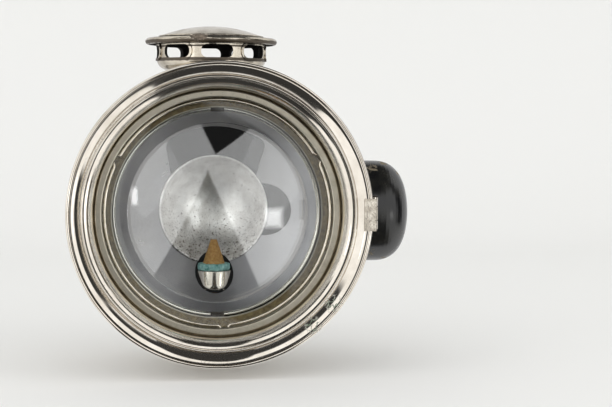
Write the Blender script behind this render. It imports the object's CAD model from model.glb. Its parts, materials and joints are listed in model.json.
"""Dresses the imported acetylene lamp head: finishes, finer spun parts, studio and camera."""

import json
import logging
import math
from dataclasses import dataclass, field
from enum import Enum
from typing import Callable

import bpy
from mathutils import Matrix, Vector


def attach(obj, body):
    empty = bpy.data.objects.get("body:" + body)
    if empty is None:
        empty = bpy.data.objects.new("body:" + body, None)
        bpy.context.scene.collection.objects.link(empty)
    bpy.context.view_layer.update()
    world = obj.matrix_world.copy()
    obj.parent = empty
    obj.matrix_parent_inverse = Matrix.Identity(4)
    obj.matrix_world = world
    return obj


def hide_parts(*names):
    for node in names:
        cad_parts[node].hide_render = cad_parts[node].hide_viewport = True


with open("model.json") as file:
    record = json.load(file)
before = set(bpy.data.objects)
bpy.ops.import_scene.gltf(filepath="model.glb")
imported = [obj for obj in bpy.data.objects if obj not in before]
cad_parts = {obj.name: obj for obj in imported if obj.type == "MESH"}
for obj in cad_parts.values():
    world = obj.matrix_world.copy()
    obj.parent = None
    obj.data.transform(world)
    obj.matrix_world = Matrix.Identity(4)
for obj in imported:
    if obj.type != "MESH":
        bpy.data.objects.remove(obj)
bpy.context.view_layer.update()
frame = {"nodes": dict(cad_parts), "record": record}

LOG = logging.getLogger("lamp")
MM = 0.001
VENT_Y = -37.3  # the row's y, in mm, of the vent's upright axis
DOOR_FRONT_Y = -78.3  # the row's y, in mm, of the plane that depths are counted from


class Body(Enum):
    """CAD bodies that pieces ride on."""

    LAMP = "lamp_body"
    DOOR = "door"
    SCREW = "clamp_screw"


def linear(code: str, alpha: float = 1.0) -> tuple[float, float, float, float]:
    """Turns an sRGB hex colour to linear.

    Args:
        code: six hex digits.
        alpha: the fourth value.

    Returns:
        Red, green, blue and alpha.
    """
    parts = [int(code[i : i + 2], 16) / 255 for i in (0, 2, 4)]
    return (*[c / 12.92 if c <= 0.04045 else ((c + 0.055) / 1.055) ** 2.4 for c in parts], alpha)


def add(tree: bpy.types.NodeTree, kind: str, settings: dict | None = None, **inputs) -> bpy.types.Node:
    """Adds one node to a tree.

    Args:
        tree: the tree that gets it.
        kind: the node's type name.
        settings: the node's own properties.
        inputs: a value or an output socket for each input, named with _ for a space,
            or iN for input number N.

    Returns:
        The node.
    """
    made = tree.nodes.new(kind)
    for name, value in (settings or {}).items():
        setattr(made, name, value)
    for name, value in inputs.items():
        number = name[1:] if name[0] == "i" and name[1:].isdigit() else None
        socket = made.inputs[int(number)] if number else made.inputs[name.replace("_", " ")]
        if isinstance(value, bpy.types.NodeSocket):
            tree.links.new(value, socket)
        else:
            socket.default_value = value
    return made


def ramp(tree: bpy.types.NodeTree, fac: bpy.types.NodeSocket, stops: list[tuple]) -> bpy.types.NodeSocket:
    """Adds a colour ramp.

    Args:
        tree: the tree that gets it.
        fac: what drives it.
        stops: a position and a hex colour or a grey level for each stop.

    Returns:
        Its colour output.
    """
    made = add(tree, "ShaderNodeValToRGB", Fac=fac)
    elements = made.color_ramp.elements
    while len(elements) < len(stops):
        elements.new(0.5)
    for element, (at, colour) in zip(elements, stops):
        element.position = at
        element.color = linear(colour) if isinstance(colour, str) else (colour, colour, colour, 1)
    return made.outputs["Color"]


def blank(name: str) -> tuple[bpy.types.Material, bpy.types.NodeTree]:
    """Makes an empty node material.

    Args:
        name: the finish's name.

    Returns:
        The material and its tree, which holds no node yet.
    """
    material = bpy.data.materials.new(name)
    material.use_nodes = True
    material.node_tree.nodes.clear()
    return material, material.node_tree


def finish_off(tree: bpy.types.NodeTree, shader: bpy.types.NodeSocket) -> None:
    """Links a shader to the material's output.

    Args:
        tree: the material's tree.
        shader: the shader to show.
    """
    add(tree, "ShaderNodeOutputMaterial", Surface=shader)


def object_place(tree: bpy.types.NodeTree) -> bpy.types.NodeSocket:
    """Gives the place on the piece, in metres.

    Args:
        tree: the material's tree.

    Returns:
        The Object coordinate's socket.
    """
    return add(tree, "ShaderNodeTexCoord").outputs["Object"]


def math_node(tree: bpy.types.NodeTree, how: str, a, b=0.0, clamp: bool = False) -> bpy.types.NodeSocket:
    """Adds one sum, product or other Math node.

    Args:
        tree: the tree that gets it.
        how: the operation's name.
        a: first value or socket.
        b: second value or socket.
        clamp: True keeps the result from 0 to 1.

    Returns:
        Its output.
    """
    return add(tree, "ShaderNodeMath", {"operation": how, "use_clamp": clamp}, i0=a, i1=b).outputs[0]


def blend(tree: bpy.types.NodeTree, fac, first, second) -> bpy.types.NodeSocket:
    """Mixes two colours.

    Args:
        tree: the tree that gets the node.
        fac: how much of the second shows, a value or a socket.
        first: a hex colour or a socket.
        second: a hex colour or a socket.

    Returns:
        The mixed colour.
    """
    pair = [linear(c) if isinstance(c, str) else c for c in (first, second)]
    return add(tree, "ShaderNodeMix", {"data_type": "RGBA"}, i0=fac, i6=pair[0], i7=pair[1]).outputs[2]


def noise(tree: bpy.types.NodeTree, place: bpy.types.NodeSocket, size_mm: float, detail: float = 3.0,
          rough: float = 0.5) -> bpy.types.NodeSocket:
    """Adds a noise of a real size.

    Args:
        tree: the tree that gets it.
        place: the coordinates it reads.
        size_mm: the size of its largest patches.
        detail: how many finer layers it has.
        rough: how strong the finer layers are.

    Returns:
        Its value.
    """
    return add(tree, "ShaderNodeTexNoise", Vector=place, Scale=1 / (size_mm * MM), Detail=detail,
               Roughness=rough).outputs["Fac"]


def inner_face(tree: bpy.types.NodeTree, heart: tuple[float, float, float]) -> bpy.types.NodeSocket:
    """Tells a sheet's inner face from its outer one.

    Args:
        tree: the tree that gets the nodes.
        heart: a point, in mm, that only inner faces look towards.

    Returns:
        1 on faces that look towards the point, and 0 on the others.
    """
    where = add(tree, "ShaderNodeTexCoord")
    arm = add(tree, "ShaderNodeVectorMath", {"operation": "SUBTRACT"}, i0=where.outputs["Object"],
              i1=tuple(c * MM for c in heart))
    facing = add(tree, "ShaderNodeVectorMath", {"operation": "DOT_PRODUCT"}, i0=where.outputs["Normal"],
                 i1=arm.outputs[0])
    return math_node(tree, "LESS_THAN", facing.outputs["Value"], 0.0)


@dataclass(frozen=True)
class Cracks:
    """Places where the plate has split and gone green."""

    places: tuple[tuple[float, float, float], ...] = ((31.3, -77.5, -37.6), (38.4, -77.5, -30.4))
    reach_mm: float = 3.6

    def cover(self, tree: bpy.types.NodeTree, place: bpy.types.NodeSocket) -> bpy.types.NodeSocket:
        """Draws thin crooked lines near each place.

        Args:
            tree: the material's tree.
            place: the Object coordinates.

        Returns:
            1 on the lines and 0 elsewhere.
        """
        total = 0.0
        for spot in self.places:
            far = add(tree, "ShaderNodeVectorMath", {"operation": "DISTANCE"}, i0=place,
                      i1=tuple(c * MM for c in spot)).outputs["Value"]
            near = add(tree, "ShaderNodeMapRange", Value=far, From_Min=self.reach_mm * MM,
                       From_Max=self.reach_mm * 0.4 * MM).outputs[0]
            total = math_node(tree, "ADD", total, near, True)
        wander = math_node(tree, "ABSOLUTE", math_node(tree, "SUBTRACT", noise(tree, place, 2.6, 3.0), 0.5))
        line = add(tree, "ShaderNodeMapRange", Value=wander, From_Min=0.035, From_Max=0.012).outputs[0]
        return math_node(tree, "MULTIPLY", total, line)


@dataclass(frozen=True)
class Grime:
    """Brown-black dirt that has settled along corners at given heights."""

    bands: tuple[tuple[float, float], ...]
    patch_mm: float = 1.8

    def cover(self, tree: bpy.types.NodeTree, place: bpy.types.NodeSocket) -> bpy.types.NodeSocket:
        """Draws ragged bands.

        Args:
            tree: the material's tree.
            place: the Object coordinates.

        Returns:
            How thick the dirt lies, from 0 to 1.
        """
        height = add(tree, "ShaderNodeSeparateXYZ", Vector=place).outputs["Z"]
        total = 0.0
        for level, reach in self.bands:
            off = math_node(tree, "ABSOLUTE", math_node(tree, "SUBTRACT", height, level * MM))
            near = add(tree, "ShaderNodeMapRange", Value=off, From_Min=reach * MM, From_Max=0.0).outputs[0]
            total = math_node(tree, "MAXIMUM", total, near)
        ragged = math_node(tree, "ADD", total, noise(tree, place, self.patch_mm, 5.0, 0.65))
        return ramp(tree, ragged, [(0.72, 0.0), (0.98, 1.0)])


@dataclass(frozen=True)
class RimTones:
    """A dish's edge: its roll rubbed bright, and brown stains on the flange outside it."""

    roll_r: float = 34.7
    flange_r: float = 36.5
    bright: str = "e2dfd6"
    stain: str = "9b8f76"

    def radius(self, tree: bpy.types.NodeTree, place: bpy.types.NodeSocket) -> bpy.types.NodeSocket:
        """Gives the distance from the lamp's axis, in metres.

        Args:
            tree: the material's tree.
            place: the Object coordinates.

        Returns:
            The distance.
        """
        flat = add(tree, "ShaderNodeVectorMath", {"operation": "MULTIPLY"}, i0=place, i1=(1, 0, 1)).outputs[0]
        return add(tree, "ShaderNodeVectorMath", {"operation": "LENGTH"}, i0=flat).outputs["Value"]

    def beyond(self, tree: bpy.types.NodeTree, place: bpy.types.NodeSocket,
               edge: float) -> bpy.types.NodeSocket:
        """Tells what lies outside a circle.

        Args:
            tree: the material's tree.
            place: the Object coordinates.
            edge: the circle's radius in mm.

        Returns:
            1 outside it and 0 inside.
        """
        return add(tree, "ShaderNodeMapRange", Value=self.radius(tree, place), From_Min=edge * MM,
                   From_Max=(edge + 0.2) * MM).outputs[0]


@dataclass(frozen=True)
class PlatedMetal:
    """Polished plate over brass: bright and nearly mirror-like, with fine wear and small dark pits."""

    name: str
    colour: str
    dull: str
    roughness: float = 0.06
    worn_roughness: float = 0.15
    smear_mm: float = 9.0
    pit_mm: float = 0.9
    pits: float = 0.3
    bump: float = 0.0
    heart: tuple[float, float, float] | None = None
    cracks: Cracks | None = None
    grime: Grime | None = None
    edge: RimTones | None = None

    def make(self) -> bpy.types.Material:
        """Builds the material."""
        material, tree = blank(self.name)
        place = object_place(tree)
        smear = noise(tree, place, self.smear_mm, 5.0)
        fine = noise(tree, place, self.pit_mm)
        sparse = math_node(tree, "MULTIPLY", ramp(tree, noise(tree, place, 22), [(0.45, 0.0), (0.7, 1.0)]),
                           ramp(tree, fine, [(0.6, 0.0), (0.68, 1.0)]))
        tone = blend(tree, ramp(tree, smear, [(0.3, 0.0), (0.8, 0.6)]), self.colour, self.dull)
        colour = blend(tree, math_node(tree, "MULTIPLY", sparse, self.pits), tone, "4a3b2c")
        rough = add(tree, "ShaderNodeMapRange", Value=smear, From_Min=0.3, From_Max=0.8,
                    To_Min=self.roughness, To_Max=self.worn_roughness).outputs[0]
        metallic = 1.0
        if self.edge:
            rolled = self.edge.beyond(tree, place, self.edge.roll_r)
            flange = self.edge.beyond(tree, place, self.edge.flange_r)
            colour = blend(tree, flange, blend(tree, rolled, colour, self.edge.bright), self.edge.stain)
            rough = add(tree, "ShaderNodeMix", {"data_type": "FLOAT"},
                        i0=rolled, i2=rough, i3=0.16).outputs[0]
        if self.grime:
            dirt = self.grime.cover(tree, place)
            colour = blend(tree, math_node(tree, "MULTIPLY", dirt, 0.85), colour, "3a2f25")
            rough = math_node(tree, "MAXIMUM", rough, math_node(tree, "MULTIPLY", dirt, 0.5))
        if self.cracks:
            split = self.cracks.cover(tree, place)
            colour = blend(tree, split, colour, "3f5b42")
            rough = math_node(tree, "MAXIMUM", rough, math_node(tree, "MULTIPLY", split, 0.8))
            metallic = math_node(tree, "SUBTRACT", 1.0, split)
        if self.heart:
            inner = inner_face(tree, self.heart)
            colour = blend(tree, inner, colour, blend(tree, noise(tree, place, 6), "0c0a09", "1d1815"))
            rough = math_node(tree, "MAXIMUM", rough, math_node(tree, "MULTIPLY", inner, 0.85))
            metallic = math_node(tree, "SUBTRACT", 1.0, inner)
        shader = add(tree, "ShaderNodeBsdfPrincipled", Base_Color=colour, Metallic=metallic, Roughness=rough)
        if self.bump:
            relief = add(tree, "ShaderNodeBump", Height=fine, Strength=self.bump, Distance=0.02 * MM)
            tree.links.new(relief.outputs[0], shader.inputs["Normal"])
        finish_off(tree, shader.outputs[0])
        return material


@dataclass(frozen=True)
class SpottedSilver:
    """Silver of the bowl: pale and satin, blotched, with black and rust spots that crowd its lower edge."""

    name: str = "spotted_silver"
    top_z: float = 6.0
    foot_z: float = -20.0

    def make(self) -> bpy.types.Material:
        """Builds the material."""
        material, tree = blank(self.name)
        place = object_place(tree)
        height = add(tree, "ShaderNodeSeparateXYZ", Vector=place).outputs["Z"]
        low = add(tree, "ShaderNodeMapRange", Value=height, From_Min=self.top_z * MM,
                  From_Max=self.foot_z * MM).outputs[0]
        blotch = noise(tree, place, 5.0, 6.0, 0.6)
        tone = blend(tree, ramp(tree, blotch, [(0.35, 0.0), (0.7, 1.0)]), "f4f2f0", "cdc9c5")
        stained = math_node(tree, "MULTIPLY", math_node(tree, "POWER", low, 2.5),
                            ramp(tree, noise(tree, place, 3.2, 6.0, 0.7), [(0.38, 0.0), (0.6, 1.0)]))
        tone = blend(tree, math_node(tree, "MULTIPLY", stained, 0.75), tone, "857d72")
        crowd = math_node(tree, "MULTIPLY", low, 0.11)
        for size, colour in ((0.42, "241d18"), (0.8, "4d3a2a")):
            spots = math_node(tree, "ADD", noise(tree, place, size, 1.0), crowd)
            tone = blend(tree, ramp(tree, spots, [(0.715, 0.0), (0.76, 0.9)]), tone, colour)
        rough = add(tree, "ShaderNodeMapRange", Value=blotch, From_Min=0.3, From_Max=0.75, To_Min=0.34,
                    To_Max=0.5).outputs[0]
        inner = inner_face(tree, (0, 500, 0))
        shader = add(tree, "ShaderNodeBsdfPrincipled", Base_Color=blend(tree, inner, tone, "171311"),
                     Metallic=math_node(tree, "SUBTRACT", 1.0, inner), Roughness=rough)
        relief = add(tree, "ShaderNodeBump", Height=blotch, Strength=0.4, Distance=0.05 * MM)
        tree.links.new(relief.outputs[0], shader.inputs["Normal"])
        finish_off(tree, shader.outputs[0])
        return material


@dataclass(frozen=True)
class PlainFinish:
    """A surface of one kind with a mottled colour."""

    name: str
    light: str
    dark: str
    grain_mm: float
    roughness: float
    metallic: float = 0.0
    bump_mm: float = 0.0

    def make(self) -> bpy.types.Material:
        """Builds the material."""
        material, tree = blank(self.name)
        grain = noise(tree, object_place(tree), self.grain_mm, 6.0, 0.6)
        colour = ramp(tree, grain, [(0.3, self.dark), (0.7, self.light)])
        shader = add(tree, "ShaderNodeBsdfPrincipled", Base_Color=colour, Metallic=self.metallic,
                     Roughness=self.roughness)
        if self.bump_mm:
            relief = add(tree, "ShaderNodeBump", Height=grain, Strength=1.0, Distance=self.bump_mm * MM)
            tree.links.new(relief.outputs[0], shader.inputs["Normal"])
        finish_off(tree, shader.outputs[0])
        return material


@dataclass(frozen=True)
class Chips:
    """Enamel knocked off along an edge, down to the pale ground coat."""

    places: tuple[tuple[float, float, float, float], ...]

    def cover(self, tree: bpy.types.NodeTree, place: bpy.types.NodeSocket) -> bpy.types.NodeSocket:
        """Draws ragged spots, each at a place and of a size in mm.

        Args:
            tree: the material's tree.
            place: the Object coordinates.

        Returns:
            1 where the enamel is gone.
        """
        total = 0.0
        ragged = add(tree, "ShaderNodeMapRange", Value=noise(tree, place, 1.5, 6.0, 0.75), From_Min=0.36,
                     From_Max=0.64, To_Max=0.6).outputs[0]
        for *spot, size in self.places:
            far = add(tree, "ShaderNodeVectorMath", {"operation": "DISTANCE"}, i0=place,
                      i1=tuple(c * MM for c in spot)).outputs["Value"]
            near = add(tree, "ShaderNodeMapRange", Value=far, From_Min=size * MM, From_Max=0.0,
                       To_Max=0.75).outputs[0]
            total = math_node(tree, "MAXIMUM", total, near)
        return math_node(tree, "GREATER_THAN", math_node(tree, "ADD", total, ragged), 0.72)


@dataclass(frozen=True)
class StovedEnamel:
    """Black enamel stoved on sheet metal: deep and glossy, rubbed duller, chipped to its ground coat."""

    name: str = "stoved_enamel"
    chips: Chips = Chips(((54.0, -51.5, 14.2, 3.6), (57.5, -49.0, 16.2, 4.0), (62.5, -44.0, 16.6, 3.4),
                          (66.8, -46.0, 12.3, 3.4), (68.4, -46.0, 9.0, 2.2), (56.5, -52.5, -17.0, 4.2),
                          (62.5, -47.0, -18.6, 2.8), (69.6, -44.0, -3.0, 1.6)))

    def make(self) -> bpy.types.Material:
        """Builds the material."""
        material, tree = blank(self.name)
        place = object_place(tree)
        rubbed = noise(tree, place, 7.0, 5.0)
        gone = self.chips.cover(tree, place)
        black = blend(tree, ramp(tree, rubbed, [(0.4, 0.0), (0.75, 1.0)]), "121213", "26251f")
        colour = blend(tree, gone, black, blend(tree, noise(tree, place, 1.2), "8c8068", "4c4232"))
        rough = add(tree, "ShaderNodeMapRange", Value=rubbed, From_Min=0.3, From_Max=0.75, To_Min=0.14,
                    To_Max=0.34).outputs[0]
        rough = math_node(tree, "MAXIMUM", rough, math_node(tree, "MULTIPLY", gone, 0.7))
        depth = add(tree, "ShaderNodeBump", Height=math_node(tree, "MULTIPLY", gone, -1.0), Strength=1.0,
                    Distance=0.12 * MM)
        shader = add(tree, "ShaderNodeBsdfPrincipled", Base_Color=colour, Roughness=rough,
                     Normal=depth.outputs[0])
        finish_off(tree, shader.outputs[0])
        return material


@dataclass(frozen=True)
class LampGlass:
    """Blown glass: clear, glossy on both faces, and it lets the lamps' light through."""

    name: str
    tint: str
    ior: float = 1.5
    coat: float = 0.0
    coat_r: float | None = None

    def make(self) -> bpy.types.Material:
        """Builds the material."""
        material, tree = blank(self.name)
        coat = self.coat
        if self.coat_r:
            rim = RimTones().beyond(tree, object_place(tree), self.coat_r)
            coat = add(tree, "ShaderNodeMapRange", Value=rim, To_Min=self.coat, To_Max=0.0).outputs[0]
        glass = add(tree, "ShaderNodeBsdfPrincipled", Base_Color=linear(self.tint), Roughness=0.0,
                    IOR=self.ior, Transmission_Weight=1.0, Coat_Weight=coat, Coat_Roughness=0.0,
                    Coat_IOR=1.6)
        clear = add(tree, "ShaderNodeBsdfTransparent", Color=linear(self.tint))
        path = add(tree, "ShaderNodeLightPath")
        mixed = add(tree, "ShaderNodeMixShader", i0=path.outputs["Is Shadow Ray"], i1=glass.outputs[0],
                    i2=clear.outputs[0])
        finish_off(tree, mixed.outputs[0])
        return material


NICKEL = ("e0dad0", "b3a898")


@dataclass
class Finishes:
    """Every finish of the lamp, made once."""

    # Nickel plate buffed over brass: warm, nearly a mirror, with faint cloudy wear.
    nickel: bpy.types.Material = field(default_factory=PlatedMetal("nickel_plate", *NICKEL).make)
    # The same plate split along the rim: thin ragged lines and flaked spots break the mirror.
    rim: bpy.types.Material = field(default_factory=PlatedMetal(
        "nickel_plate_split_on_the_rim", *NICKEL, cracks=Cracks()).make)
    # Plate eaten by damp: small close dark pits that dull the hinge leaf and the lip.
    pitted: bpy.types.Material = field(default_factory=PlatedMetal(
        "nickel_plate_pitted", "dcd5c8", "988b76", 0.1, 0.3, 2.0, 0.6, 1.0, 0.9).make)
    # Plate dulled by the flue's heat: browner and softer, with dirt in the lips and joints.
    aged: bpy.types.Material = field(default_factory=PlatedMetal(
        "nickel_plate_dulled_by_heat", "cdc5b6", "8a806f", 0.13, 0.3, 5.0, 0.7, 0.8, 0.5,
        heart=(0, VENT_Y, 57),
        grime=Grime(((59.5, 1.0), (53.3, 0.9), (61.35, 0.55), (57.9, 0.5)))).make)
    # Hard drawn wire: a yellower and slightly scratched shine.
    wire: bpy.types.Material = field(default_factory=PlatedMetal(
        "sprung_wire", "e9e2d4", "a39676", 0.1, 0.25, 3.0, 0.5, 0.6).make)
    # Plate rubbed satin by handling: greyish, with broad soft reflections.
    cell: bpy.types.Material = field(default_factory=PlatedMetal(
        "nickel_plate_worn_satin", "c4beae", "918977", 0.3, 0.45, 4.0, 0.6, 0.4).make)
    # Plate with soot on the faces that look inwards: bright outside, black within.
    sooted: bpy.types.Material = field(default_factory=PlatedMetal(
        "nickel_plate_sooted_inside", *NICKEL, heart=(0, VENT_Y, 0)).make)
    # Silver gone dull: bluish grey, broad soft reflections, and a bright rolled edge.
    reflector: bpy.types.Material = field(default_factory=PlatedMetal(
        "dulled_silver", "bab9bc", "929196", 0.26, 0.42, 14.0, 0.8, 0.25, heart=(0, 500, 0),
        edge=RimTones()).make)
    # Silver spotted by tarnish: pale, with grey specks that gather towards its lower part.
    bowl: bpy.types.Material = field(default_factory=SpottedSilver().make)
    # Steel darkened by heat and oil: brownish black with a low shine.
    steel: bpy.types.Material = field(default_factory=PlainFinish(
        "darkened_steel", "4b4640", "2a2622", 1.6, 0.5, 0.9).make)
    # Bare brass left to dull: golden brown, clouded, with no mirror.
    brass: bpy.types.Material = field(default_factory=PlainFinish(
        "dulled_brass", "a98a52", "5f4a2a", 2.2, 0.36, 1.0).make)
    # Copper salts grown on brass: chalky blue-green and uneven, with no shine.
    verdigris: bpy.types.Material = field(default_factory=PlainFinish(
        "verdigris", "b2dfda", "3d8580", 1.1, 0.85, 0.0, 0.15).make)
    # Plate lifted by corrosion: rough dark brown lumps that catch no light.
    crust: bpy.types.Material = field(default_factory=PlainFinish(
        "corroded_plate", "86796a", "2c2620", 1.0, 0.7, 0.0, 0.1).make)
    # Fired steatite: ochre, dry and fine-grained, scorched darker in patches.
    steatite: bpy.types.Material = field(default_factory=PlainFinish(
        "fired_steatite", "c79a58", "95692f", 0.9, 0.72, 0.0, 0.06).make)
    # A pressed cork washer: brown, matt and crumbly.
    cork: bpy.types.Material = field(default_factory=PlainFinish(
        "cork_washer", "857450", "4f432d", 1.2, 0.9, 0.0, 0.2).make)
    # Black stoved enamel: deep and glossy, chipped at its edges.
    enamel: bpy.types.Material = field(default_factory=StovedEnamel().make)
    # Blown lens glass: clear, with a sharp coat of reflections inside its rim.
    clear_glass: bpy.types.Material = field(default_factory=LampGlass(
        "lens_glass", "f7f9f8", 1.55, 1.0, 31.2).make)
    # Glass coloured through: deep red where light comes through it.
    ruby_glass: bpy.types.Material = field(default_factory=LampGlass("ruby_glass", "a01018").make)

    def dress(self) -> None:
        """Gives every CAD node its finish, by the record's material slots."""
        by_slot = {"nickel": self.nickel, "reflector": self.reflector, "steel": self.steel,
                   "brass": self.brass, "verdigris_brass": self.verdigris, "steatite": self.steatite,
                   "cork": self.cork, "clear_glass": self.clear_glass, "ruby_glass": self.ruby_glass,
                   "black_enamel": self.enamel}
        by_node = {"reflector_bowl": self.bowl, "rim_ring": self.rim, "glass_cell": self.cell}
        by_node |= dict.fromkeys(["drum", "back_cover", "mouth_ring", "reflector_ring"], self.sooted)
        by_node |= dict.fromkeys(["door_hinge_leaf", "door_finger_lip"], self.pitted)
        by_node |= dict.fromkeys(["vent_gallery", "vent_cap", "vent_neck", "flue_tube"], self.aged)
        for part in frame["record"]["subparts"]:
            obj = frame["nodes"][part["node"]]
            material = by_node.get(part["node"], by_slot[part["material_slot"]])
            for slot in obj.material_slots:
                slot.material = material
            LOG.info("%s: %s", part["node"], material.name)


def deselect() -> None:
    bpy.ops.object.select_all(action="DESELECT")


def fix_place() -> None:
    """Moves the active piece's place, turn and scale into its mesh."""
    bpy.ops.object.transform_apply(location=True, rotation=True, scale=True)


def pick(piece: bpy.types.Object, test: Callable[[Vector], bool]) -> None:
    """Goes into edit mode with the chosen corners, and the edges and faces between them, selected.

    Args:
        piece: the piece to edit.
        test: says for a corner's place whether it is chosen.
    """
    bpy.ops.object.mode_set(mode="OBJECT")
    mesh = piece.data
    chosen = [test(corner.co) for corner in mesh.vertices]
    mesh.vertices.foreach_set("select", chosen)
    mesh.edges.foreach_set("select", [all(chosen[i] for i in edge.vertices) for edge in mesh.edges])
    mesh.polygons.foreach_set("select", [all(chosen[i] for i in face.vertices) for face in mesh.polygons])
    bpy.ops.object.mode_set(mode="EDIT")


def corrode(piece: bpy.types.Object, lump_mm: float, height_mm: float, levels: int) -> None:
    """Swells a piece's surface into lumps, and applies that.

    Args:
        piece: the piece.
        lump_mm: the lumps' size.
        height_mm: how far they stand out.
        levels: how many times the mesh is divided first.
    """
    lumps = bpy.data.textures.new(f"{piece.name}_lumps", "CLOUDS")
    lumps.noise_scale, lumps.noise_depth = lump_mm * MM, 3
    fine = piece.modifiers.new("fine", "SUBSURF")
    fine.levels = fine.render_levels = levels
    swell = piece.modifiers.new("swell", "DISPLACE")
    swell.texture, swell.strength, swell.mid_level = lumps, height_mm * MM, 0.4
    for modifier in (fine, swell):
        bpy.ops.object.modifier_apply(modifier=modifier.name)
    bpy.ops.object.shade_smooth()


def arc(middle: tuple[float, float], radii: tuple[float, float], start: float, end: float,
        steps: int) -> list[tuple[float, float]]:
    """Gives points on an arc of an ellipse.

    Args:
        middle: its centre.
        radii: its two half axes.
        start: first angle, in degrees.
        end: last angle, in degrees.
        steps: how many pieces it is divided into.

    Returns:
        The points.
    """
    angles = [math.radians(start + (end - start) * i / steps) for i in range(steps + 1)]
    return [(middle[0] + radii[0] * math.cos(a), middle[1] + radii[1] * math.sin(a)) for a in angles]


def turned(name: str, outline: list[tuple[float, float]], middle: tuple[float, float, float],
           axis: tuple[float, float, float], steps: int = 128, smooth_deg: float = 40) -> bpy.types.Object:
    """Turns a piece as on a lathe: a point is drawn out along the outline and spun round the axis.

    Args:
        name: the piece's name.
        outline: radius and place along the axis of each corner, in mm.
        middle: a point on the axis, in mm.
        axis: the axis's direction.
        steps: how many steps the spin has.
        smooth_deg: edges flatter than this are shaded smooth.

    Returns:
        The piece.
    """
    deselect()
    along = Vector(axis)
    out = along.orthogonal().normalized()
    centre = Vector(middle) * MM
    points = [centre + (out * r + along * t) * MM for r, t in outline]
    bpy.ops.mesh.primitive_plane_add(size=MM, location=(0, 0, 0), enter_editmode=True)
    piece = bpy.context.object
    piece.name = piece.data.name = name
    bpy.ops.mesh.merge(type="CENTER")
    bpy.ops.transform.translate(value=points[0])
    for here, there in zip(points, points[1:]):
        bpy.ops.mesh.extrude_region_move(TRANSFORM_OT_translate={"value": there - here})
    bpy.ops.mesh.select_all(action="SELECT")
    bpy.ops.mesh.spin(steps=steps, angle=2 * math.pi, center=centre, axis=along)
    bpy.ops.mesh.select_all(action="SELECT")
    bpy.ops.mesh.remove_doubles(threshold=0.002 * MM)
    bpy.ops.mesh.normals_make_consistent(inside=False)
    bpy.ops.object.mode_set(mode="OBJECT")
    bpy.ops.object.shade_smooth_by_angle(angle=math.radians(smooth_deg))
    return piece


def settle(piece: bpy.types.Object, body: Body, material: bpy.types.Material) -> None:
    """Gives a finished piece its finish and the body that it rides on.

    Args:
        piece: the piece.
        body: the body that it moves with.
        material: its finish.
    """
    piece.data.materials.clear()
    piece.data.materials.append(material)
    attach(piece, body.value)
    LOG.info("%s: %d faces, %s", piece.name, len(piece.data.polygons), material.name)


@dataclass
class RimRing:
    """The door's front ring: a rolled bead, a broad ridge that falls inward, and a small bead."""

    outer_r: float = 52.0
    bead_r: float = 0.62
    ridge: tuple[tuple[float, float], ...] = ((50.7, -10.0), (50.45, 0.0), (49.3, 30.0), (48.8, 39.0),
                                              (48.2, 44.0), (47.1, 49.0))
    ridge_depth: float = 0.12
    small_r: float = 0.45
    small_depth: float = 3.1
    inner_r: float = 46.28
    back: float = 4.4
    skirt_r: float = 49.8

    def build(self, finishes: Finishes) -> None:
        """Spins the ring in place of the plain one.

        Args:
            finishes: the lamp's finishes.
        """
        middle = (self.outer_r - self.bead_r, self.bead_r + 0.02)
        outline = [(self.skirt_r, self.back), (self.outer_r - 0.25, self.back - 1.2),
                   (self.outer_r - 0.1, middle[1] + 0.5)]
        outline += arc(middle, (self.bead_r, self.bead_r), 20, -190, 22)
        outline += [(self.ridge[0][0] + 0.03, 1.0), (self.ridge[0][0], self.ridge_depth)]
        for (here, slope), (there, next_slope) in zip(self.ridge, self.ridge[1:]):
            for i in range(8):
                turn = math.radians(slope + (next_slope - slope) * (i + 0.5) / 8)
                step = (here - there) / 8
                outline.append((outline[-1][0] - step, outline[-1][1] + step * math.tan(turn)))
        foot = (self.inner_r + self.small_r, self.small_depth)
        outline += [(outline[-1][0] - 0.05, foot[1] - 0.1)]
        outline += arc(foot, (self.small_r, self.small_r), -30, -180, 14)
        outline += [(self.inner_r, self.back + 0.1), (self.skirt_r, self.back)]
        ring = turned("rim_ring_spun", outline, (0, DOOR_FRONT_Y, 0), (0, 1, 0), 256, 25)
        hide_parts("rim_ring")
        settle(ring, Body.DOOR, finishes.rim)


@dataclass
class Lens:
    """The domed glass with its flat rim."""

    rim_r: float = 39.7
    dome_r: float = 31.2
    rise: float = 7.4
    thick: float = 2.1
    edge_depth: float = 12.67

    def build(self, finishes: Finishes) -> None:
        """Blows the glass in place of the plain one.

        Args:
            finishes: the lamp's finishes.
        """
        ball = (self.dome_r**2 + self.rise**2) / (2 * self.rise)
        middle = (0, self.edge_depth - self.rise + ball)
        spread = math.degrees(math.asin(self.dome_r / ball))
        inner = ball - self.thick
        rear = math.degrees(math.acos((middle[1] - self.edge_depth - self.thick) / inner))
        outline = arc(middle, (ball, ball), -90, -90 + spread, 40)
        outline += arc((self.rim_r - 0.5, self.edge_depth + 0.5), (0.5, 0.5), -90, 0, 4)
        outline += arc((self.rim_r - 0.5, self.edge_depth + self.thick - 0.5), (0.5, 0.5), 0, 90, 4)
        outline += arc(middle, (inner, inner), -90 + rear, -90, 40)
        glass = turned("lens", outline, (0, DOOR_FRONT_Y, 0), (0, 1, 0), 192, 12)
        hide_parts("front_glass")
        settle(glass, Body.DOOR, finishes.clear_glass)


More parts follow.
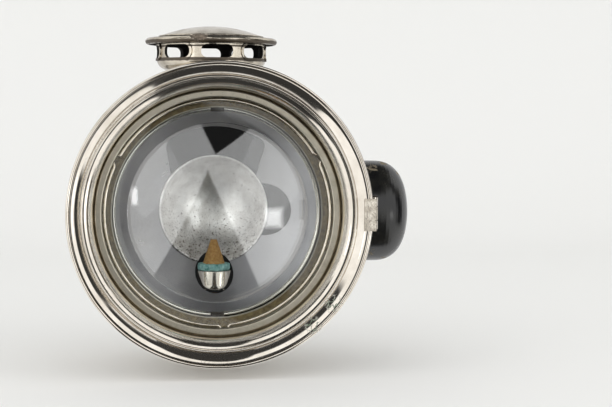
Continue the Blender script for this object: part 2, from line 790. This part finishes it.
@dataclass
class SpringWire:
    """The sprung wire that keeps the glass in, in three lengths whose ends hook out into the cell's slots."""

    ring_r: float = 38.95
    wire_r: float = 0.5
    depth: float = 12.1
    gaps_deg: tuple[float, float, float] = (28.5, 152.5, 273.0)
    half_gap_deg: float = 4.0
    hook_r: float = 1.6
    hook_deg: float = 58.0

    def build(self, finishes: Finishes) -> None:
        """Bends the three lengths in place of the plain wire.

        Args:
            finishes: the lamp's finishes.
        """
        ends = (*self.gaps_deg[1:], self.gaps_deg[0] + 360)
        for number, (start, end) in enumerate(zip(self.gaps_deg, ends)):
            self.length(number, start + self.half_gap_deg, end - self.half_gap_deg, finishes)

    def length(self, number: int, start: float, end: float, finishes: Finishes) -> None:
        """Bends one length by spinning its round section, first round the lamp and then round each hook.

        Args:
            number: which length it is.
            start: the angle, in degrees, of its first end.
            end: the angle of its last end.
            finishes: the lamp's finishes.
        """
        deselect()
        y = (DOOR_FRONT_Y + self.depth) * MM
        first = math.radians(start)
        way = Vector((math.cos(first), 0, math.sin(first)))
        bpy.ops.mesh.primitive_circle_add(vertices=12, radius=self.wire_r * MM, fill_type="NGON",
                                          location=way * self.ring_r * MM + Vector((0, y, 0)),
                                          rotation=(0, -first, 0))
        wire = bpy.context.object
        wire.name = wire.data.name = f"spring_wire_{number + 1}"
        fix_place()
        hooks = [(start, 1.0), (end, -1.0)]
        bpy.ops.object.mode_set(mode="EDIT")
        bpy.ops.mesh.select_all(action="SELECT")
        bpy.ops.mesh.spin(steps=72, angle=math.radians(end - start), center=(0, y, 0), axis=(0, 1, 0))
        for angle, way_round in reversed(hooks):
            turn = math.radians(angle)
            out = Vector((math.cos(turn), 0, math.sin(turn)))
            if way_round > 0:
                pick(wire, lambda v: abs((v - Vector((0, y, 0))).cross(out).length) < 0.02 * MM
                     or (v - out * self.ring_r * MM - Vector((0, y, 0))).length < (self.wire_r + 0.02) * MM)
            centre = out * (self.ring_r + self.hook_r) * MM + Vector((0, y, 0))
            bpy.ops.mesh.spin(steps=8, angle=way_round * math.radians(self.hook_deg), center=centre,
                              axis=(0, 1, 0))
        bpy.ops.mesh.select_all(action="SELECT")
        bpy.ops.mesh.remove_doubles(threshold=0.002 * MM)
        bpy.ops.mesh.normals_make_consistent(inside=False)
        bpy.ops.object.mode_set(mode="OBJECT")
        bpy.ops.object.shade_smooth_by_angle(angle=math.radians(40))
        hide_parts("glass_wire")
        settle(wire, Body.DOOR, finishes.wire)


@dataclass
class VentCap:
    """The cap over the gallery: a dished plate on a flange with a fat rolled edge."""

    vent_y: float = -37.3
    flange_z: float = 60.4
    plate_r: float = 18.9
    plate_t: float = 0.7
    neck_r: float = 17.9
    step: float = 0.95
    rise: float = 3.75
    rim_r: float = 23.7
    roll_r: float = 1.15
    sheet: float = 0.8

    def build(self, finishes: Finishes) -> None:
        """Turns the cap in place of the plain one.

        Args:
            finishes: the lamp's finishes.
        """
        seat = self.flange_z + self.step
        ball = (self.plate_r**2 + self.rise**2) / (2 * self.rise)
        middle = (0, seat + self.plate_t / 2 + self.rise - ball)
        spread = math.degrees(math.asin((self.plate_r - 0.3) / ball))
        outline = arc(middle, (ball, ball), 90, 90 - spread, 24)
        outline += arc((self.plate_r - 0.3, seat + self.plate_t / 2), (self.plate_t / 2, self.plate_t / 2),
                       70, -90, 6)
        outline += [(self.neck_r, seat), (self.neck_r, self.flange_z + 0.05),
                    (self.neck_r + 0.2, self.flange_z - 0.1)]
        roll = (self.rim_r - self.roll_r, self.flange_z - 0.45)
        outline += arc(roll, (self.roll_r, self.roll_r), 150, -160, 20)
        inner = ball - self.sheet
        outline += [(self.plate_r - 0.2, self.flange_z - self.sheet)]
        outline += arc(middle, (inner, inner), 90 - spread * 0.93, 90, 24)
        cap = turned("cap", outline, (0, self.vent_y, 0), (0, 0, 1), 160, 25)
        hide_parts("vent_cap")
        settle(cap, Body.LAMP, finishes.aged)


@dataclass
class GasWay:
    """The burner's cup and corroded collar, and the hose end of the inlet."""

    burner_y: float = -48.6
    cup_r: float = 6.2
    cup_h: float = 8.0
    cup_round: float = 3.0
    cup_foot_r: float = 3.6
    collar_r: float = 5.6
    collar_top: float = -19.0
    collar_h: float = 2.15
    collar_gap: float = 0.15
    inlet_z: float = -52.65
    inlet_r: float = 3.0
    barb_h: float = 0.45
    barb_len: float = 2.3
    first_barb_y: float = -39.2
    barbs: int = 3

    def build(self, finishes: Finishes) -> None:
        """Makes the pieces.

        Args:
            finishes: the lamp's finishes.
        """
        self.cup(finishes)
        self.crust(finishes)
        self.hose_end(finishes)

    def cup(self, finishes: Finishes) -> None:
        """Turns the cup under the burner, round at its foot, in place of the plain socket.

        Args:
            finishes: the lamp's finishes.
        """
        top = self.collar_top - self.collar_h - self.collar_gap
        foot = top - self.cup_h
        outline = [(0, top + 0.02), (self.cup_r - 0.35, top + 0.02)]
        outline += arc((self.cup_r - 0.35, top - 0.33), (0.35, 0.35), 90, 0, 5)
        outline += arc((self.cup_foot_r, foot + self.cup_round),
                       (self.cup_r - self.cup_foot_r, self.cup_round), 0, -90, 20)
        outline += [(0, foot)]
        cup = turned("burner_cup", outline, (0, self.burner_y, 0), (0, 0, 1), 96, 30)
        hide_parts("burner_socket")
        settle(cup, Body.LAMP, finishes.nickel)

    def crust(self, finishes: Finishes) -> None:
        """Grows verdigris over the collar, in place of the plain one.

        Args:
            finishes: the lamp's finishes.
        """
        deselect()
        bpy.ops.mesh.primitive_cylinder_add(
            vertices=48, radius=self.collar_r * MM, depth=self.collar_h * MM,
            location=(0, self.burner_y * MM, (self.collar_top - self.collar_h / 2) * MM))
        crust = bpy.context.object
        crust.name = crust.data.name = "collar_crust"
        fix_place()
        bpy.ops.object.mode_set(mode="EDIT")
        bpy.ops.mesh.select_all(action="SELECT")
        bpy.ops.mesh.bevel(offset=0.3 * MM, segments=2)
        for step in range(3):
            middle = (self.collar_top - self.collar_h / 2) * MM
            pick(crust, lambda v: abs(v.z - middle) > 0.45 * self.collar_h * MM
                 and math.hypot(v.x, v.y - self.burner_y * MM) < (self.collar_r - 0.25 - 1.4 * step) * MM)
            bpy.ops.mesh.inset(thickness=1.4 * MM)
        bpy.ops.object.mode_set(mode="OBJECT")
        corrode(crust, 1.3, 0.5, 2)
        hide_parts("burner_collar")
        settle(crust, Body.LAMP, finishes.verdigris)

    def hose_end(self, finishes: Finishes) -> None:
        """Turns the barbs that hold a rubber tube on the inlet.

        Args:
            finishes: the lamp's finishes.
        """
        outline = [(self.inlet_r - 0.3, 0)]
        for i in range(self.barbs):
            start = i * self.barb_len
            outline += [(self.inlet_r + self.barb_h, start), (self.inlet_r + self.barb_h, start + 0.2),
                        (self.inlet_r + 0.02, start + self.barb_len)]
        outline.append((self.inlet_r - 0.3, self.barbs * self.barb_len))
        outline.append(outline[0])
        barbs = turned("hose_barbs", outline, (0, self.first_barb_y, self.inlet_z), (0, 1, 0), 64, 25)
        settle(barbs, Body.LAMP, finishes.brass)


@dataclass
class Shell:
    """The drum's folded seam and the split rim of the cap."""

    seam_deg: float = 215.0
    seam_w: float = 3.4
    seam_t: float = 0.4
    drum_r: float = 45.0
    seam_front: float = -65.5
    seam_rear: float = -22.0
    cap_r: float = 22.4
    vent_y: float = -37.3
    cap_z: float = 60.3

    def build(self, finishes: Finishes) -> None:
        """Makes both pieces.

        Args:
            finishes: the lamp's finishes.
        """
        self.seam(finishes)
        self.rim_crust(finishes)

    def seam(self, finishes: Finishes) -> None:
        """Folds the seam where the drum's sheet is joined.

        Args:
            finishes: the lamp's finishes.
        """
        deselect()
        angle = math.radians(self.seam_deg)
        r = (self.drum_r + self.seam_t / 2 - 0.05) * MM
        middle = (r * math.cos(angle), (self.seam_front + self.seam_rear) / 2 * MM, r * math.sin(angle))
        bpy.ops.mesh.primitive_cube_add(size=MM, location=middle, rotation=(0, -angle, 0))
        seam = bpy.context.object
        seam.name = seam.data.name = "drum_seam"
        seam.scale = (self.seam_t, self.seam_rear - self.seam_front, self.seam_w)
        fix_place()
        bpy.ops.object.mode_set(mode="EDIT")
        bpy.ops.mesh.select_all(action="SELECT")
        bpy.ops.mesh.bevel(offset=0.15 * MM, segments=3)
        bpy.ops.object.mode_set(mode="OBJECT")
        bpy.ops.object.shade_smooth_by_angle(angle=math.radians(40))
        settle(seam, Body.LAMP, finishes.nickel)

    def rim_crust(self, finishes: Finishes) -> None:
        """Puts a corroded patch on the front of the cap's rolled rim.

        Args:
            finishes: the lamp's finishes.
        """
        deselect()
        angle = math.radians(254)
        place = (self.cap_r * math.cos(angle) * MM, (self.vent_y + self.cap_r * math.sin(angle)) * MM,
                 self.cap_z * MM)
        bpy.ops.mesh.primitive_uv_sphere_add(segments=24, ring_count=12, radius=MM, location=place,
                                             rotation=(0, 0, angle + math.pi / 2))
        crust = bpy.context.object
        crust.name = crust.data.name = "rim_crust"
        crust.scale = (3.6, 1.5, 1.45)
        fix_place()
        corrode(crust, 0.7, 0.9, 2)
        settle(crust, Body.LAMP, finishes.crust)


@dataclass
class ClampThread:
    """The clamp screw with its shaft turned down, and the thread wound on it, which still clears the bore."""

    plain_r: float = 2.5
    radius: float = 2.15
    height: float = 0.38
    pitch: float = 1.0
    start_y: float = 5.2
    turns: int = 7

    def build(self, finishes: Finishes) -> None:
        """Makes both pieces.

        Args:
            finishes: the lamp's finishes.
        """
        self.shaft(finishes)
        self.thread(finishes)

    def shaft(self, finishes: Finishes) -> None:
        """Copies the plain screw and draws its shaft in to the thread's root.

        Args:
            finishes: the lamp's finishes.
        """
        deselect()
        shaft = bpy.data.objects.new("clamp_shaft", frame["nodes"]["clamp_screw"].data.copy())
        shaft.data.name = shaft.name
        bpy.context.collection.objects.link(shaft)
        bpy.context.view_layer.objects.active = shaft
        shaft.select_set(True)
        pick(shaft, lambda v: True)
        bpy.ops.mesh.remove_doubles(threshold=0.002 * MM)
        pick(shaft, lambda v: abs(math.hypot(v.x, v.z) - self.plain_r * MM) < 0.03 * MM)
        drawn_in = self.radius / self.plain_r
        bpy.ops.transform.resize(value=(drawn_in, 1, drawn_in), center_override=(0, 0, 0))
        bpy.ops.object.mode_set(mode="OBJECT")
        bpy.ops.object.shade_smooth_by_angle(angle=math.radians(30))
        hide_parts("clamp_screw")
        settle(shaft, Body.SCREW, finishes.nickel)

    def thread(self, finishes: Finishes) -> None:
        """Winds the thread.

        Args:
            finishes: the lamp's finishes.
        """
        deselect()
        bpy.ops.mesh.primitive_plane_add(size=MM, location=(0, 0, 0), enter_editmode=True)
        thread = bpy.context.object
        thread.name = thread.data.name = "clamp_thread"
        bpy.ops.mesh.merge(type="CENTER")
        corners = [(self.radius - 0.1, 0.0), (self.radius + self.height, 0.5), (self.radius - 0.1, 1.0)]
        points = [Vector((r, 0, t * self.pitch)) * MM for r, t in corners]
        bpy.ops.transform.translate(value=points[0])
        for here, there in zip(points, points[1:]):
            bpy.ops.mesh.extrude_region_move(TRANSFORM_OT_translate={"value": there - here})
        bpy.ops.object.mode_set(mode="OBJECT")
        winding = thread.modifiers.new("winding", "SCREW")
        winding.screw_offset, winding.iterations = self.pitch * MM, self.turns
        winding.steps = winding.render_steps = 32
        winding.use_merge_vertices, winding.merge_threshold = True, 0.002 * MM
        bpy.ops.object.modifier_apply(modifier=winding.name)
        thread.rotation_euler = (-math.pi / 2, 0, 0)
        thread.location = (0, self.start_y * MM, 0)
        fix_place()
        bpy.ops.object.mode_set(mode="EDIT")
        bpy.ops.mesh.select_all(action="SELECT")
        bpy.ops.mesh.normals_make_consistent(inside=False)
        bpy.ops.object.mode_set(mode="OBJECT")
        settle(thread, Body.SCREW, finishes.nickel)


@dataclass
class Studio:
    """Pale floor that sweeps up behind the lamp, the white tent round it and its lamps."""

    floor_z: float = -0.0563
    width: float = 8.0
    front_y: float = -4.0
    bend_y: float = 0.35
    bend_r: float = 0.3
    wall_h: float = 1.2
    bend_steps: int = 24
    paper: str = "ececea"
    panel: float = 1.35
    backdrop_share: float = 0.62
    diffuse_level: float = 0.98
    gap: float = 0.05
    lower_x: float = -0.03
    lower_z: float = 0.414
    upper_x: float = 0.048
    upper_z: float = 0.526
    left_spread: tuple[float, float] = (0.46, 0.52)
    right_spread: tuple[float, float] = (0.44, 1.8)
    lamps: tuple[tuple[float, float, float, float], ...] = ((0.626, -0.115, 0.075, 0.09),
                                                            (-0.732, 0.1, 0.022, 0.08))
    lamp_level: float = 3.2
    lamp_watts: float = 2.0

    def build(self) -> None:
        """Makes the sweep, the world and the lamps."""
        self.sweep()
        self.world()
        for side in (-1, 1):
            self.softbox(side)

    def sweep(self) -> None:
        """Makes the floor from a plane whose back edge is extruded on, round the bend and up."""
        deselect()
        depth = self.bend_y - self.front_y
        bpy.ops.mesh.primitive_plane_add(size=1.0, location=(0, self.front_y + depth / 2, self.floor_z))
        paper = bpy.context.object
        paper.name = paper.data.name = "paper_sweep"
        paper.scale = (self.width, depth, 1)
        fix_place()
        pick(paper, lambda v: v.y > self.bend_y - MM)
        last = Vector((0, 0, 0))
        turns = [math.pi / 2 * (i + 1) / self.bend_steps for i in range(self.bend_steps)]
        stops = [Vector((0, self.bend_r * math.sin(t), self.bend_r * (1 - math.cos(t)))) for t in turns]
        stops.append(stops[-1] + Vector((0, 0, self.wall_h)))
        for stop in stops:
            bpy.ops.mesh.extrude_region_move(TRANSFORM_OT_translate={"value": stop - last})
            last = stop
        bpy.ops.object.mode_set(mode="OBJECT")
        bpy.ops.object.shade_smooth()
        material, tree = blank("white_paper")
        shader = add(tree, "ShaderNodeBsdfPrincipled", Base_Color=linear(self.paper), Roughness=0.9)
        gone = add(tree, "ShaderNodeBsdfTransparent")
        behind = add(tree, "ShaderNodeNewGeometry").outputs["Backfacing"]
        mirrored = add(tree, "ShaderNodeLightPath").outputs["Is Glossy Ray"]
        hidden = math_node(tree, "MAXIMUM", behind, mirrored)
        mixed = add(tree, "ShaderNodeMixShader", i0=hidden, i1=shader.outputs[0], i2=gone.outputs[0])
        finish_off(tree, mixed.outputs[0])
        paper.data.materials.append(material)

    def world(self) -> None:
        """Makes the tent: two white sides that meet in front, dark above and below the meeting."""
        world = bpy.data.worlds.new("tent")
        bpy.context.scene.world = world
        world.use_nodes = True
        tree = world.node_tree
        tree.nodes.clear()
        way = add(tree, "ShaderNodeSeparateXYZ", Vector=add(tree, "ShaderNodeTexCoord").outputs["Generated"])
        x, y, z = way.outputs["X"], way.outputs["Y"], way.outputs["Z"]
        above = math_node(tree, "MAXIMUM", math_node(tree, "SUBTRACT", z, self.upper_z), 0.0)
        below = math_node(tree, "MAXIMUM", math_node(tree, "SUBTRACT", self.lower_z, z), 0.0)
        middle = add(tree, "ShaderNodeMapRange", Value=z, From_Min=self.lower_z, From_Max=self.upper_z,
                     To_Min=self.lower_x, To_Max=self.upper_x).outputs[0]
        from_middle = math_node(tree, "SUBTRACT", x, middle)
        spans = []
        for side, low, high in ((-1.0, *self.left_spread), (1.0, *self.right_spread)):
            reach = math_node(tree, "ADD", math_node(tree, "MULTIPLY", below, low),
                              math_node(tree, "MULTIPLY", above, high))
            spans.append(math_node(tree, "SUBTRACT", reach, math_node(tree, "MULTIPLY", from_middle, side)))
        inside = add(tree, "ShaderNodeMapRange", Value=math_node(tree, "MINIMUM", *spans), From_Min=0.0,
                     From_Max=0.025).outputs[0]
        over = add(tree, "ShaderNodeMapRange", Value=y, From_Min=0.85, From_Max=0.6).outputs[0]
        under = add(tree, "ShaderNodeMapRange", Value=y, From_Min=-0.03, From_Max=-0.1).outputs[0]
        ahead = math_node(tree, "MAXIMUM", under,
                          math_node(tree, "MULTIPLY", over, math_node(tree, "GREATER_THAN", z, 0.0)))
        ceiling = self.band(tree, (y, -0.42, -0.36), (y, -0.04, -0.1), (z, 0.43, 0.52))
        beside = self.band(tree, (x, 0.83, 0.87), (z, -0.4, -0.3), (z, 0.62, 0.54), (y, 0.2, 0.1),
                           (y, -0.42, -0.36))
        dark = math_node(tree, "MAXIMUM", math_node(tree, "MULTIPLY", inside, ahead),
                         math_node(tree, "MAXIMUM", ceiling, beside))
        level = add(tree, "ShaderNodeMapRange", Value=dark, To_Min=self.panel, To_Max=self.gap).outputs[0]
        for centre_x, centre_z, half_x, half_z in self.lamps:
            off_x = math_node(tree, "ABSOLUTE", math_node(tree, "SUBTRACT", x, centre_x))
            off_z = math_node(tree, "ABSOLUTE", math_node(tree, "SUBTRACT", z, centre_z))
            off = math_node(tree, "MAXIMUM", math_node(tree, "DIVIDE", off_x, half_x),
                            math_node(tree, "DIVIDE", off_z, half_z))
            spot = add(tree, "ShaderNodeMapRange", Value=off, From_Min=1.3, From_Max=0.6,
                       To_Max=self.lamp_level).outputs[0]
            front = math_node(tree, "LESS_THAN", y, 0.0)
            level = math_node(tree, "ADD", level, math_node(tree, "MULTIPLY", spot, front))
        behind = add(tree, "ShaderNodeMapRange", Value=y, From_Min=0.1, From_Max=0.6, To_Min=1.0,
                     To_Max=self.backdrop_share).outputs[0]
        path = add(tree, "ShaderNodeLightPath")
        level = add(tree, "ShaderNodeMix", {"data_type": "FLOAT"}, i0=path.outputs["Is Glossy Ray"],
                    i2=self.diffuse_level, i3=math_node(tree, "MULTIPLY", level, behind)).outputs[0]
        seen = add(tree, "ShaderNodeBackground", Color=linear("e8e8e8"), Strength=1.0)
        lit = add(tree, "ShaderNodeBackground", Color=(1, 1, 1, 1), Strength=level)
        mixed = add(tree, "ShaderNodeMixShader", i0=path.outputs["Is Camera Ray"], i1=lit.outputs[0],
                    i2=seen.outputs[0])
        add(tree, "ShaderNodeOutputWorld", Surface=mixed.outputs[0])

    def band(self, tree: bpy.types.NodeTree, *limits: tuple) -> bpy.types.NodeSocket:
        """Marks a part of the sky.

        Args:
            tree: the world's tree.
            limits: for each limit a coordinate, where it is still out and where it is quite in.

        Returns:
            1 where every limit is kept and 0 outside.
        """
        total = 1.0
        for value, out, within in limits:
            kept = add(tree, "ShaderNodeMapRange", Value=value, From_Min=out, From_Max=within).outputs[0]
            total = math_node(tree, "MULTIPLY", kept, total)
        return total

    def softbox(self, side: int) -> None:
        """Makes one large soft lamp beside the camera.

        Args:
            side: -1 for the left lamp and 1 for the right one.
        """
        data = bpy.data.lights.new(f"softbox_{'left' if side < 0 else 'right'}", "AREA")
        data.shape = "RECTANGLE"
        data.size, data.size_y = 0.8, 1.1
        data.energy = self.lamp_watts
        lamp = bpy.data.objects.new(data.name, data)
        bpy.context.collection.objects.link(lamp)
        lamp.location = (0.75 * side, -0.75, 0.45)
        aim = Vector((0, -0.05, 0)) - lamp.location
        lamp.rotation_euler = aim.to_track_quat("-Z", "Z").to_euler()
        lamp.visible_camera = lamp.visible_glossy = False


@dataclass
class Viewpoint:
    """The camera, at the photograph's viewing angle."""

    place: tuple[float, float, float] = (-0.04697, -0.5524, 0.03599)
    forward: tuple[float, float, float] = (0.15693, 0.98537, -0.06643)
    up: tuple[float, float, float] = (0.0041, 0.0666, 0.99777)
    lens_mm: float = 83.5

    def build(self) -> None:
        """Makes the camera and sets it for the scene."""
        data = bpy.data.cameras.new("camera")
        data.lens = self.lens_mm
        data.sensor_width = 36.0
        data.clip_start, data.clip_end = 0.01, 20.0
        camera = bpy.data.objects.new("camera", data)
        bpy.context.collection.objects.link(camera)
        ahead, up = Vector(self.forward).normalized(), Vector(self.up)
        right = ahead.cross(up).normalized()
        turn = Matrix((right, right.cross(ahead), -ahead)).transposed().to_4x4()
        camera.matrix_world = Matrix.Translation(self.place) @ turn
        bpy.context.scene.camera = camera


def main() -> None:
    """Builds the scene in order."""
    logging.basicConfig(level=logging.INFO)
    bpy.context.scene.view_settings.view_transform = "Standard"
    Viewpoint().build()
    Studio().build()
    finishes = Finishes()
    finishes.dress()
    for group in (RimRing(), Lens(), SpringWire(), VentCap(), GasWay(), Shell(), ClampThread()):
        group.build(finishes)


if __name__ == "__main__":
    main()
